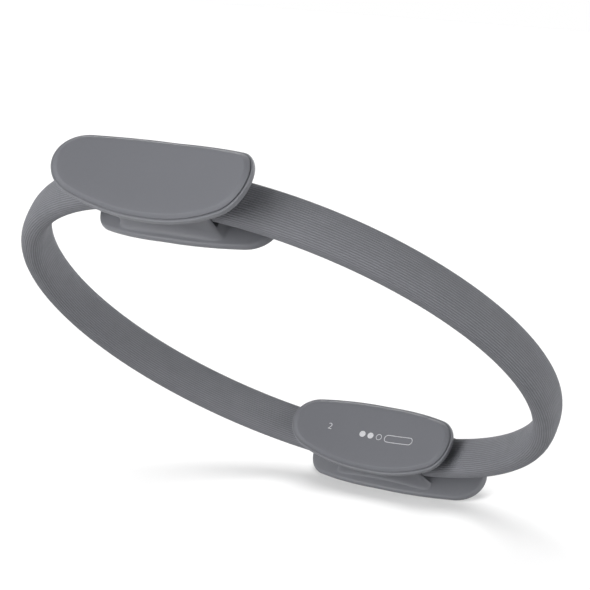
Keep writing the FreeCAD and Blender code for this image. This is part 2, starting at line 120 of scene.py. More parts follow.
class Slot(Enum):
    """Material slots of the record for the pieces made here; carry takes them but does not use them."""

    SLEEVE = "sleeve"
    PAD = "pad"
    PLATE = "plate"
    SPRING = "spring"


class Side(Enum):
    """The two handles: label, sign along X and the body that carries the handle."""

    RIGHT = ("right", 1.0, Body.RIGHT_HANDLE)
    LEFT = ("left", -1.0, Body.HOOP)

    @property
    def label(self) -> str:
        """Word that starts the names of this handle's pieces."""
        return self.value[0]

    @property
    def sign(self) -> float:
        """Sign of this handle's place along X."""
        return self.value[1]

    @property
    def body(self) -> Body:
        """Body that this handle moves with."""
        return self.value[2]


class RimPoint(NamedTuple):
    """One turn of a rim's profile.

    It lies an inset in from the outline and a depth below the face. Wear says how rubbed it is, and tuck how
    much shorter the outline is there at each end.
    """

    inset: float
    depth: float
    wear: float = 0.0
    tuck: float = 0.0


# Shader building blocks.


class NodeBench:
    """A node tree with short ways to add and join nodes."""

    def __init__(self, tree: bpy.types.NodeTree) -> None:
        """Take over the tree of a material, a world or a group."""
        self.tree = tree

    def feed(self, socket: Socket, value: Source) -> None:
        """Give an input a plain value, or link another node's output to it.

        Args:
            socket: The input.
            value: The value or the output.
        """
        if isinstance(value, Socket):
            self.tree.links.new(value, socket)
        else:
            socket.default_value = value

    def add(self, kind: str, values: dict | None = None, **settings: object) -> bpy.types.Node:
        """Add a node.

        Args:
            kind: Type name of the node.
            values: Values or source sockets of its inputs, by name or index.
            settings: Properties of the node itself.

        Returns:
            The new node.
        """
        node = self.tree.nodes.new(kind)
        for name, value in settings.items():
            setattr(node, name, value)
        for key, value in (values or {}).items():
            self.feed(node.inputs[key], value)
        return node

    def maths(self, operation: str, *terms: Source) -> Socket:
        """Add a Math node over values or sockets and return its result."""
        return self.add("ShaderNodeMath", dict(enumerate(terms)), operation=operation).outputs[0]

    def mix(self, factor: Source, first: Source, second: Source) -> Socket:
        """Mix two colours, by the node's sockets for colours, and return the result."""
        return self.add("ShaderNodeMix", {0: factor, 6: first, 7: second}, data_type="RGBA").outputs[2]

    def noise(self, place: Socket, scale: Source, detail: float, roughness: float = 0.5) -> Socket:
        """Add a noise texture and return its value."""
        values = {"Vector": place, "Scale": scale, "Detail": detail, "Roughness": roughness}
        return self.add("ShaderNodeTexNoise", values).outputs[0]

    def remap(self, value: Socket, source: Range, target: Range = (0.0, 1.0)) -> Socket:
        """Map a range of a value to another range and return the result."""
        return self.add("ShaderNodeMapRange", dict(enumerate((value, *source, *target)))).outputs[0]


class SurfaceBench(NodeBench):
    """The nodes of a new material, round its Principled shader."""

    def __init__(self, name: str) -> None:
        """Start the material.

        Args:
            name: Name of the material.
        """
        self.material = bpy.data.materials.new(name)
        self.material.use_nodes = True
        super().__init__(self.material.node_tree)
        self.place = self.add("ShaderNodeTexCoord").outputs["Object"]

    def drawn_out(self, scale: tuple[float, float, float]) -> Socket:
        """Give the place on the surface, scaled along each axis so that a pattern is drawn out."""
        return self.add("ShaderNodeMapping", {"Vector": self.place, "Scale": scale}).outputs[0]

    def bump(self, height: Socket, depth: float) -> Socket:
        """Turn a height from 0 to 1 into a normal and return it."""
        values = {"Height": height, "Distance": depth, "Strength": 1.0}
        return self.add("ShaderNodeBump", values).outputs["Normal"]

    def finish(self, inputs: dict[str, Source]) -> Material:
        """Give the shader its inputs.

        Args:
            inputs: Values or source sockets, by the names of the shader's inputs.

        Returns:
            The finished material.
        """
        shader = self.tree.nodes["Principled BSDF"]
        for name, value in inputs.items():
            self.feed(shader.inputs[name], value)
        return self.material


class GroupBench(NodeBench):
    """The nodes of a new group with named inputs and outputs."""

    def __init__(self, name: str, inputs: dict[str, str], outputs: dict[str, str]) -> None:
        """Start the group.

        Args:
            name: Name of the group.
            inputs: Kinds of its inputs by name: Vector, Float or Color.
            outputs: Kinds of its outputs by name.
        """
        super().__init__(bpy.data.node_groups.new(name, "ShaderNodeTree"))
        for direction, sockets in (("INPUT", inputs), ("OUTPUT", outputs)):
            for label, kind in sockets.items():
                self.tree.interface.new_socket(label, in_out=direction, socket_type=f"NodeSocket{kind}")
        self.given = self.add("NodeGroupInput").outputs

    def finish(self, results: dict[str, Socket]) -> bpy.types.NodeTree:
        """Join the results to the group's outputs and return the group."""
        self.add("NodeGroupOutput", results)
        return self.tree


@dataclass(frozen=True)
class Effects:
    """Shader node groups that several finishes share. Scales are in patches per metre."""

    cloud_scale: float = 26.0
    mottle_scale: float = 420.0
    mottle_share: float = 0.45
    tone_range: Range = (0.32, 0.68)
    pebble_share: float = 0.7
    patch_scale: float = 95.0
    patch_range: Range = (0.35, 0.65)
    rub_range: Range = (0.25, 1.0)

    @cached_property
    def drift(self) -> bpy.types.NodeTree:
        """Slow change of tone over a moulded surface: clouds with a finer mottle in them.

        Returns:
            The group.
        """
        bench = GroupBench("tone_drift", {"Vector": "Vector", "Tint": "Color", "Shade": "Color"},
                           {"Color": "Color", "Cloud": "Float"})
        cloud = bench.noise(bench.given["Vector"], self.cloud_scale, detail=3.0, roughness=0.55)
        mottle = bench.noise(bench.given["Vector"], self.mottle_scale, detail=2.0, roughness=0.6)
        rest = bench.maths("MULTIPLY", cloud, 1.0 - self.mottle_share)
        tone = bench.remap(bench.maths("MULTIPLY_ADD", mottle, self.mottle_share, rest), self.tone_range)
        colour = bench.mix(tone, bench.given["Shade"], bench.given["Tint"])
        return bench.finish({"Color": colour, "Cloud": tone})

    @cached_property
    def grain(self) -> bpy.types.NodeTree:
        """Fine pebble of a moulded surface, as a height from 0 to 1.

        Returns:
            The group.
        """
        bench = GroupBench("moulded_grain", {"Vector": "Vector", "Scale": "Float"}, {"Height": "Float"})
        place, scale = bench.given["Vector"], bench.given["Scale"]
        cells = bench.add("ShaderNodeTexVoronoi", {"Vector": place, "Scale": scale}, feature="SMOOTH_F1")
        fuzz = bench.noise(place, scale, detail=3.0, roughness=0.6)
        return bench.finish({
            "Height": bench.maths("MULTIPLY_ADD", cells.outputs["Distance"], -self.pebble_share, fuzz),
        })

    @cached_property
    def rubbing(self) -> bpy.types.NodeTree:
        """Rubbed edges, and painted shade in the grooves, from the wear and groove values that a mesh
        carries.

        Returns:
            The group.
        """
        bench = GroupBench(
            "rubbing",
            {"Vector": "Vector", "Wear": "Float", "Groove": "Float", "Color": "Color", "Edge": "Color",
             "GrooveShade": "Color"},
            {"Color": "Color", "Polish": "Float"},
        )
        given = bench.given
        patch = bench.noise(given["Vector"], self.patch_scale, detail=4.0, roughness=0.65)
        polish = bench.maths("MULTIPLY", given["Wear"], bench.remap(patch, self.patch_range, self.rub_range))
        edged = bench.mix(polish, given["Color"], given["Edge"])
        # Painted shade: the groove value mixes the colour towards a darker shade tint at the bottom of each
        # groove.
        return bench.finish({"Color": bench.mix(given["Groove"], edged, given["GrooveShade"]), "Polish": polish})


def scaled(colour: Colour, factor: float = 1.0) -> tuple[float, float, float, float]:
    """Give a colour, brighter or darker by a factor, as a socket wants it."""
    return (*(min(1.0, channel * factor) for channel in colour), 1.0)


@dataclass(frozen=True)
class Moulding:
    """Finish of a moulded soft or hard plastic surface."""

    name: str
    tint: Colour
    roughness: float
    specular: float
    grain_size: float
    grain_depth: float
    drift: float = 0.06
    edge_lift: float = 1.12
    # Share of the tint that is left where grooves take painted shade.
    hollow_shade: float = 0.6
    dull_swing: float = 0.1
    polish: float = 0.12

    def material(self, effects: Effects) -> Material:
        """Make the material.

        Args:
            effects: The shared node groups.

        Returns:
            The finished material.
        """
        bench = SurfaceBench(self.name)
        wear, groove = (bench.add("ShaderNodeAttribute", attribute_name=name).outputs["Fac"]
                        for name in (WEAR, GROOVE))
        drift = bench.add("ShaderNodeGroup", {
            "Vector": bench.place,
            "Tint": scaled(self.tint, 1.0 + self.drift),
            "Shade": scaled(self.tint, 1.0 - self.drift),
        }, node_tree=effects.drift)
        worn_and_shaded = bench.add("ShaderNodeGroup", {
            "Vector": bench.place, "Wear": wear, "Groove": groove, "Color": drift.outputs["Color"],
            "Edge": scaled(self.tint, self.edge_lift),
            # Painted shade: a darker copy of the tint for the bottoms of grooves.
            "GrooveShade": scaled(self.tint, self.hollow_shade),
        }, node_tree=effects.rubbing)
        grain = bench.add("ShaderNodeGroup", {"Vector": bench.place, "Scale": 1.0 / self.grain_size},
                          node_tree=effects.grain)
        dull = bench.maths("MULTIPLY_ADD", drift.outputs["Cloud"], self.dull_swing,
                           self.roughness - self.dull_swing / 2)
        return bench.finish({
            "Base Color": worn_and_shaded.outputs["Color"],
            "Roughness": bench.maths("MULTIPLY_ADD", worn_and_shaded.outputs["Polish"], -self.polish, dull),
            "Normal": bench.bump(grain.outputs["Height"], self.grain_depth),
            "Specular IOR Level": self.specular,
        })


@dataclass(frozen=True)
class DrawnMetal:
    """Finish of a metal part with fine drawing lines."""

    name: str
    tint: Colour
    roughness: float
    line_scale: float
    line_stretch: tuple[float, float, float] = (1.0, 1.0, 14.0)
    line_depth: float = 0.02 * MM
    rough_swing: float = 0.25
    bright: float = 1.06
    dark: float = 0.86

    def material(self, effects: Effects) -> Material:
        """Make the material.

        Args:
            effects: The shared node groups.

        Returns:
            The finished material.
        """
        bench = SurfaceBench(self.name)
        streak = bench.noise(bench.drawn_out(self.line_stretch), self.line_scale, detail=3.0)
        drift = bench.add("ShaderNodeGroup", {
            "Vector": bench.place,
            "Tint": scaled(self.tint, self.bright),
            "Shade": scaled(self.tint, self.dark),
        }, node_tree=effects.drift)
        return bench.finish({
            "Base Color": drift.outputs["Color"],
            "Roughness": bench.maths("MULTIPLY_ADD", streak, self.rough_swing, self.roughness),
            "Normal": bench.bump(streak, self.line_depth),
            "Metallic": 1.0,
        })


@dataclass(frozen=True)
class FibreStrip:
    """Finish of a pultruded glass fibre strip, with its fibres along the hoop."""

    name: str = "glass_fibre"
    resin: Colour = (0.60, 0.56, 0.38)
    fibre: Colour = (0.78, 0.76, 0.62)
    fibre_scale: float = 2600.0
    fibre_stretch: tuple[float, float, float] = (0.02, 0.02, 1.0)
    fibre_depth: float = 0.03 * MM
    roughness: float = 0.28
    rough_swing: float = 0.2

    def material(self) -> Material:
        """Make the material.

        Returns:
            The finished material.
        """
        bench = SurfaceBench(self.name)
        fibres = bench.noise(bench.drawn_out(self.fibre_stretch), self.fibre_scale, detail=4.0)
        return bench.finish({
            "Base Color": bench.mix(fibres, scaled(self.resin), scaled(self.fibre)),
            "Roughness": bench.maths("MULTIPLY_ADD", fibres, self.rough_swing, self.roughness),
            "Normal": bench.bump(fibres, self.fibre_depth),
        })


@dataclass(frozen=True)
class PrintInk:
    """Finish of pad printed marks: matt pale ink, a little thin in places."""

    name: str = "pale_ink"
    tint: Colour = (0.70, 0.70, 0.72)
    thin: Colour = (0.50, 0.50, 0.53)
    cover_scale: float = 1500.0
    cover_range: Range = (0.3, 0.5)
    roughness: float = 0.5
    rough_swing: float = 0.2

    def material(self) -> Material:
        """Make the material.

        Returns:
            The finished material.
        """
        bench = SurfaceBench(self.name)
        cover = bench.noise(bench.place, self.cover_scale, detail=3.0)
        thickness = bench.remap(cover, self.cover_range)
        return bench.finish({
            "Base Color": bench.mix(thickness, scaled(self.thin), scaled(self.tint)),
            "Roughness": bench.maths("MULTIPLY_ADD", cover, self.rough_swing, self.roughness),
        })


@dataclass(frozen=True)
class Palette:
    """Every finish of the ring, as made materials."""

    sleeve: Material
    pad: Material
    plate: Material
    spring: Material
    liner: Material
    clip: Material
    fastener: Material
    ink: Material

    @classmethod
    def mixed(cls) -> "Palette":
        """Make all materials on the shared effects.

        Returns:
            The palette.
        """
        effects = Effects()
        # Only the sleeve's ribs carry groove values, so only they take the painted groove shade.
        sleeve = Moulding("ribbed_sleeve", (0.194, 0.198, 0.216), roughness=0.72, specular=0.30,
                          grain_size=0.45 * MM, grain_depth=0.05 * MM, drift=0.05, edge_lift=1.10,
                          hollow_shade=0.62)
        pad = Moulding("soft_pad_skin", (0.166, 0.170, 0.187), roughness=0.66, specular=0.30,
                       grain_size=0.40 * MM, grain_depth=0.035 * MM, drift=0.025, edge_lift=1.05,
                       hollow_shade=0.55)
        plate = Moulding("moulded_shell", (0.170, 0.174, 0.190), roughness=0.52, specular=0.36,
                         grain_size=0.55 * MM, grain_depth=0.03 * MM, drift=0.03, edge_lift=1.10)
        liner = Moulding("liner_rubber", (0.022, 0.022, 0.024), roughness=0.8, specular=0.3,
                         grain_size=0.5 * MM, grain_depth=0.06 * MM)
        clip = DrawnMetal("rolled_clip_steel", (0.56, 0.56, 0.57), roughness=0.26, line_scale=900.0)
        fastener = DrawnMetal("zinc_fastener", (0.50, 0.51, 0.53), roughness=0.34, line_scale=1500.0)
        return cls(
            sleeve=sleeve.material(effects), pad=pad.material(effects), plate=plate.material(effects),
            spring=FibreStrip().material(), liner=liner.material(effects), clip=clip.material(effects),
            fastener=fastener.material(effects), ink=PrintInk().material(),
        )


# Mesh building blocks.


def slice_mesh(bm: BMesh, axis: Vector, places: Iterable[float]) -> None:
    """Cut a whole mesh by parallel planes, so that it can bend there.

    Args:
        bm: The mesh.
        axis: Direction across the planes.
        places: Where the planes stand along it.
    """
    bmesh.ops.triangulate(bm, faces=[face for face in bm.faces if len(face.verts) > 4])
    for place in places:
        everything = [*bm.verts, *bm.edges, *bm.faces]
        bmesh.ops.bisect_plane(bm, geom=everything, dist=MERGE_DISTANCE, plane_co=axis * place, plane_no=axis)


def spaced(low: float, high: float, step: float) -> list[float]:
    """Give evenly spaced places strictly between two ends, about a step apart."""
    count = max(2, round((high - low) / step))
    return [low + (high - low) * k / count for k in range(1, count)]


def settle(bm: BMesh, name: str, move: Move, material: Material) -> Piece:
    """Bend a flat mesh into its place and put it in the scene.

    Args:
        bm: The mesh, which is used up.
        name: Name of the piece.
        move: Gives the place of each point.
        material: Finish of the piece.

    Returns:
        The new object, at the origin.
    """
    for vert in bm.verts:
        vert.co = move(vert.co)
    bmesh.ops.remove_doubles(bm, verts=bm.verts, dist=MERGE_DISTANCE)
    bmesh.ops.recalc_face_normals(bm, faces=bm.faces)
    if bm.calc_volume(signed=True) < 0:
        bmesh.ops.reverse_faces(bm, faces=bm.faces)
    mesh = bpy.data.meshes.new(name)
    bm.to_mesh(mesh)
    bm.free()
    mesh.shade_smooth()
    mesh.set_sharp_from_angle(angle=SHARP_ANGLE)
    mesh.materials.append(material)
    piece = bpy.data.objects.new(name, mesh)
    bpy.context.scene.collection.objects.link(piece)
    return piece


def mesh_with_layers() -> BMesh:
    """Start a mesh that carries wear and groove values on its points.

    Returns:
        The empty mesh.
    """
    bm = bmesh.new()
    for name in (WEAR, GROOVE):
        bm.verts.layers.float.new(name)
    return bm


def draw_out(bm: BMesh, faces: list[BMFace], by: Vector) -> None:
    """Draw flat faces out into a closed body by a move."""
    grown = bmesh.ops.extrude_face_region(bm, geom=faces, use_keep_orig=True)["geom"]
    bmesh.ops.translate(bm, verts=[item for item in grown if isinstance(item, BMVert)], vec=by)


def closed_ring(bm: BMesh, verts: list[BMVert]) -> list[BMEdge]:
    """Join points to a closed ring and return its edges."""
    return [bm.edges.new(pair) for pair in zip(verts, verts[1:] + verts[:1])]


@dataclass(frozen=True)
class PadForm:
    """Outline and hollow of a pad and of the plate that carries it.

    The outline has straight sides, shoulder arcs and round noses. It is drawn flat, as along, across and
    depth below the face, and bent about a line that stands on the X axis.
    """

    length: float
    width: float
    face_radius: float
    bend_centre: float
    facing: float
    straight: float = 10.0 * MM
    nose_ease: float = 5.7 * MM
    shoulder_steps: int = 14
    nose_steps: int = 26

    @property
    def nose(self) -> float:
        """Radius of the noses."""
        return self.width / 2 - self.nose_ease

    @property
    def nose_place(self) -> float:
        """Distance of the noses' centres from the middle."""
        return self.length / 2 - self.nose

    @property
    def shoulder(self) -> float:
        """Radius of the shoulder arcs, which touch the sides and the noses."""
        run = self.nose_place - self.straight / 2
        return (run ** 2 + (self.width / 2) ** 2 - self.nose ** 2) / (2 * self.nose_ease)

    def half_width(self, along: float) -> float:
        """Give half the outline's width at a place along its sides or shoulders."""
        past = max(0.0, abs(along) - self.straight / 2)
        return self.width / 2 - self.shoulder + math.sqrt(self.shoulder ** 2 - past ** 2)

    def bend(self, along: float, depth: float) -> float:
        """Give the place along X of a point of the right handle."""
        return self.bend_centre + self.facing * math.sqrt((self.face_radius + depth) ** 2 - along ** 2)

    def outline(self, bm: BMesh) -> tuple[list[BMEdge], dict[BMVert, tuple[Vector, Vector]]]:
        """Draw the outline as a closed ring of edges.

        Args:
            bm: The flat mesh, still empty.

        Returns:
            The edges of the ring, and for each of its points the place and the direction outwards.
        """
        half_width, flat, nose_place = self.width / 2, self.straight / 2, self.nose_place
        drop = self.shoulder - half_width
        turn = math.atan2(drop, nose_place - flat)
        first = vert = bm.verts.new((flat, -half_width, 0.0))
        rays = {first: (first.co.copy(), Vector((0.0, -1.0, 0.0)))}
        for sign in (1.0, -1.0):
            arcs = (
                (Vector((sign * flat, sign * drop, 0.0)), math.pi / 2 - turn, self.shoulder_steps),
                (Vector((sign * nose_place, 0.0, 0.0)), 2 * turn, self.nose_steps),
                (Vector((sign * flat, -sign * drop, 0.0)), math.pi / 2 - turn, self.shoulder_steps),
            )
            for centre, angle, steps in arcs:
                known = set(bm.verts)
                spun = bmesh.ops.spin(bm, geom=[vert], cent=centre, axis=UPWARDS, angle=angle, steps=steps)
                vert = next(item for item in spun["geom_last"] if isinstance(item, BMVert))
                for fresh in set(bm.verts) - known:
                    rays[fresh] = (fresh.co.copy(), (fresh.co - centre).normalized())
            if sign > 0:
                vert = bmesh.ops.extrude_vert_indiv(bm, verts=[vert])["verts"][0]
                vert.co.x = -flat
                rays[vert] = (vert.co.copy(), Vector((0.0, 1.0, 0.0)))
        bm.edges.new((vert, first))
        return bm.edges[:], rays

    def loft(self, bm: BMesh, profile: Sequence[RimPoint], step: float) -> None:
        """Build a closed flat body from its rim profile and cut it for bending.

        Args:
            bm: The flat mesh.
            profile: Turns of the rim, from the middle of one face round the rim to the middle of the other.
            step: Distance between the cuts along the pad.
        """
        wear = bm.verts.layers.float[WEAR]
        ring, rays = self.outline(bm)
        rings = [ring]
        for number, point in enumerate(profile):
            if number:
                grown = bmesh.ops.extrude_edge_only(bm, edges=ring)["geom"]
                fresh = {item for item in grown if isinstance(item, BMVert)}
                ring = [item for item in grown if isinstance(item, BMEdge) and fresh.issuperset(item.verts)]
                neighbours = {vert: [edge.other_vert(vert) for edge in vert.link_edges] for vert in rays}
                rays = {next(near for near in neighbours[vert] if near in fresh): ray
                        for vert, ray in rays.items()}
                rings.append(ring)
            shorter = 1.0 - 2.0 * point.tuck / self.length
            for vert, (spot, outward) in rays.items():
                flat = spot - outward * point.inset
                vert.co = (flat.x * shorter, flat.y, point.depth)
                vert[wear] = point.wear
        for end in (rings[0], rings[-1]):
            bmesh.ops.contextual_create(bm, geom=end)
        slice_mesh(bm, ALONG, spaced(-self.length / 2, self.length / 2, step))


def round_turn(start: RimPoint, corner: tuple[float, float], end: RimPoint, steps: int) -> list[RimPoint]:
    """Round a corner of a rim profile.

    Args:
        start: Where the curve leaves the first line.
        corner: Inset and depth of the sharp corner.
        end: Where the curve meets the second line.
        steps: Number of stretches of the curve.

    Returns:
        The points of the curve, with both ends.
    """
    turns = []
    for k in range(steps + 1):
        t = k / steps
        weights = ((1 - t) ** 2, 2 * t * (1 - t), t ** 2)
        inset = weights[0] * start.inset + weights[1] * corner[0] + weights[2] * end.inset
        depth = weights[0] * start.depth + weights[1] * corner[1] + weights[2] * end.depth
        wear, tuck = ((1 - t) * a + t * b for a, b in ((start.wear, end.wear), (start.tuck, end.tuck)))
        turns.append(RimPoint(inset, depth, wear, tuck))
    return turns


@dataclass(frozen=True)
class RingPlan:
    """Main places of the ring, read from the CAD frame, and the forms of its pads."""

    middle: float
    radius: float
    outer_curve: float = 164.0 * MM
    outer_standoff: float = 4.5 * MM
    inner_face: float = 158.4 * MM

    @classmethod
    def from_frame(cls) -> "RingPlan":
        """Read the ring's middle plane and its outer radius from a sleeve."""
        low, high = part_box("rear_sleeve")
        return cls((low.z + high.z) / 2, high.y)

    @staticmethod
    def outline_size(node: str) -> tuple[float, float]:
        """Give the length and width of a plate's CAD node."""
        low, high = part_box(node)
        return high.y - low.y, high.z - low.z

    def outer_form(self) -> PadForm:
        """Give the form of the outer pads, hollow outwards."""
        return PadForm(*self.outline_size("right_outer_plate"), face_radius=self.outer_curve,
                       bend_centre=self.radius + self.outer_standoff + self.outer_curve, facing=-1.0)

    def inner_form(self) -> PadForm:
        """Give the form of the inner pads, hollow towards the ring axis."""
        return PadForm(*self.outline_size("right_inner_saddle"), face_radius=self.inner_face, bend_centre=0.0,
                       facing=1.0)


# The hoop.


@dataclass
class Hoop:
    """Spring strips and their ribbed sleeves."""

    palette: Palette
    middle: float
    radius: float
    sleeve_depth: float = 16.6 * MM
    sleeve_width: float = 29.0 * MM
    section_power: float = 2.6
    rib_pitch: float = 1.5 * MM
    rib_depth: float = 0.28 * MM
    points_per_rib: int = 6
    trail_steps: int = 2000
    clamp_half: float = 26.3 * MM
    bore_half_depth: float = 2.95 * MM
    bore_half_width: float = 10.3 * MM
    strip_thickness: float = 2.5 * MM
    strip_width: float = 20.0 * MM
    strip_gap: float = 0.3 * MM
    splice_half: float = 1.0 * MM
    turn_step: float = math.radians(1.6)
    bend_reach: float = 170.0 * MM

    @property
    def middle_radius(self) -> float:
        """Radius of the middle of the section."""
        return self.radius - self.sleeve_depth / 2

    def section_point(self, angle: float) -> Vector:
        """Give a point of the sleeve's crowned section.

        Args:
            angle: Angle that stands for the point, all round the section.

        Returns:
            Distances from the middle of the section, outwards and upwards.
        """
        power = 2.0 / self.section_power
        out, up = (math.copysign(abs(part) ** power, part) for part in (math.cos(angle), math.sin(angle)))
        return Vector((out * self.sleeve_depth / 2, up * self.sleeve_width / 2))

    def ribbed_section(self, bm: BMesh) -> list[BMEdge]:
        """Draw the sleeve's section with its ribs in the plane of the start of a turn.

        Args:
            bm: The mesh.

        Returns:
            The edges of the closed section.
        """
        steps = self.trail_steps
        trail = [self.section_point(2 * math.pi * k / steps) for k in range(steps + 1)]
        lengths = [0.0]
        for a, b in zip(trail, trail[1:]):
            lengths.append(lengths[-1] + (b - a).length)
        ribs = 2 * round(lengths[-1] / self.rib_pitch / 2)
        count = ribs * self.points_per_rib
        groove = bm.verts.layers.float[GROOVE]
        wear = bm.verts.layers.float[WEAR]
        verts, mark = [], 0
        for k in range(count):
            want = lengths[-1] * k / count
            while lengths[mark + 1] < want:
                mark += 1
            share = (want - lengths[mark]) / (lengths[mark + 1] - lengths[mark])
            spot = trail[mark].lerp(trail[mark + 1], share)
            along = (trail[mark + 1] - trail[mark]).normalized()
            inwards = Vector((-along.y, along.x))
            sink = 1.0 - abs(math.sin(math.pi * k / self.points_per_rib))
            spot += inwards * self.rib_depth * sink
            vert = bm.verts.new((self.middle_radius + spot.x, 0.0, self.middle + spot.y))
            # The groove value is 1 at the bottom of each rib groove; the sleeve's material paints shade there
            # from it.
            vert[groove] = sink ** 2
            vert[wear] = 1.0 - sink
            verts.append(vert)
        return closed_ring(bm, verts)

    def flat_section(self, bm: BMesh, low: float, high: float, half_width: float) -> list[BMEdge]:
        """Draw a rectangular section in the plane of the start of a turn.

        Args:
            bm: The mesh.
            low: Inner radius.
            high: Outer radius.
            half_width: Half the width along the ring axis.

        Returns:
            The edges of the closed section.
        """
        corners = [(low, -half_width), (high, -half_width), (high, half_width), (low, half_width)]
        verts = [bm.verts.new((radius, 0.0, self.middle + height)) for radius, height in corners]
        return closed_ring(bm, verts)

    def turn(self, bm: BMesh, section: list[BMEdge], start: float, sweep: float) -> list[BMEdge]:
        """Turn a section about the ring axis.

        Args:
            bm: The mesh.
            section: Edges of the closed section, in the XZ plane.
            start: Angle at which the turn starts.
            sweep: Angle of the turn.

        Returns:
            The edges of the section at the end of the turn.
        """
        verts = list({vert for edge in section for vert in edge.verts})
        bmesh.ops.rotate(bm, verts=verts, cent=ORIGIN, matrix=Matrix.Rotation(start, 3, "Z"))
        spun = bmesh.ops.spin(bm, geom=verts + section, cent=ORIGIN, axis=UPWARDS, angle=sweep,
                              steps=round(sweep / self.turn_step))
        return [item for item in spun["geom_last"] if isinstance(item, BMEdge)]

    def carry(self, piece: Piece, node: str, slot: Slot) -> None:
        """Let a piece of the hoop bend between the handles and stand for its CAD node.

        Args:
            piece: The piece.
            node: The CAD node.
            slot: Material slot of both; not used.
        """
        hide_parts(node)
        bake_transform(piece, Body.HOOP.value, Body.RIGHT_HANDLE.value,
                 start=(-self.bend_reach, 0.0, self.middle), end=(self.bend_reach, 0.0, self.middle))
        log.info("%s: %d faces", piece.name, len(piece.data.polygons))

    def build_sleeve(self, node: str, start: float) -> None:
        """Build one ribbed sleeve, from one handle to the other.

        Args:
            node: CAD node that it stands for.
            start: Angle of the handle that it starts from.
        """
        bm = mesh_with_layers()
        clear = math.asin(self.clamp_half / (self.radius - self.sleeve_depth))
        sweep = math.pi - 2 * clear
        rings = []
        for section in (
            self.ribbed_section(bm),
            self.flat_section(bm, self.middle_radius - self.bore_half_depth,
                              self.middle_radius + self.bore_half_depth, self.bore_half_width),
        ):
            rings.append((section, self.turn(bm, section, start + clear, sweep)))
        for end in (0, 1):
            bmesh.ops.triangle_fill(bm, use_beauty=True, edges=rings[0][end] + rings[1][end])
        piece = settle(bm, f"{node}_ribbed", lambda spot: spot, self.palette.sleeve)
        self.carry(piece, node, Slot.SLEEVE)

    def build_strip(self, node: str, low: float, start: float) -> None:
        """Build one spring strip with its butt joint.

        Args:
            node: CAD node that it stands for.
            low: Inner radius of the strip.
            start: Angle of the handle that hides its joint.
        """
        bm = mesh_with_layers()
        section = self.flat_section(bm, low, low + self.strip_thickness, self.strip_width / 2)
        clear = math.asin(self.splice_half / self.middle_radius)
        last = self.turn(bm, section, start + clear, 2 * (math.pi - clear))
        for ring in (section, last):
            bmesh.ops.contextual_create(bm, geom=ring)
        piece = settle(bm, f"{node}_fibre", lambda spot: spot, self.palette.spring)
        self.carry(piece, node, Slot.SPRING)

    def build(self) -> None:
        """Build the sleeves and the strips."""
        self.build_sleeve("rear_sleeve", 0.0)
        self.build_sleeve("front_sleeve", math.pi)
        half_gap = self.strip_gap / 2
        self.build_strip("inner_spring_strip", self.middle_radius - half_gap - self.strip_thickness, math.pi)
        self.build_strip("outer_spring_strip", self.middle_radius + half_gap, 0.0)


# The handles.


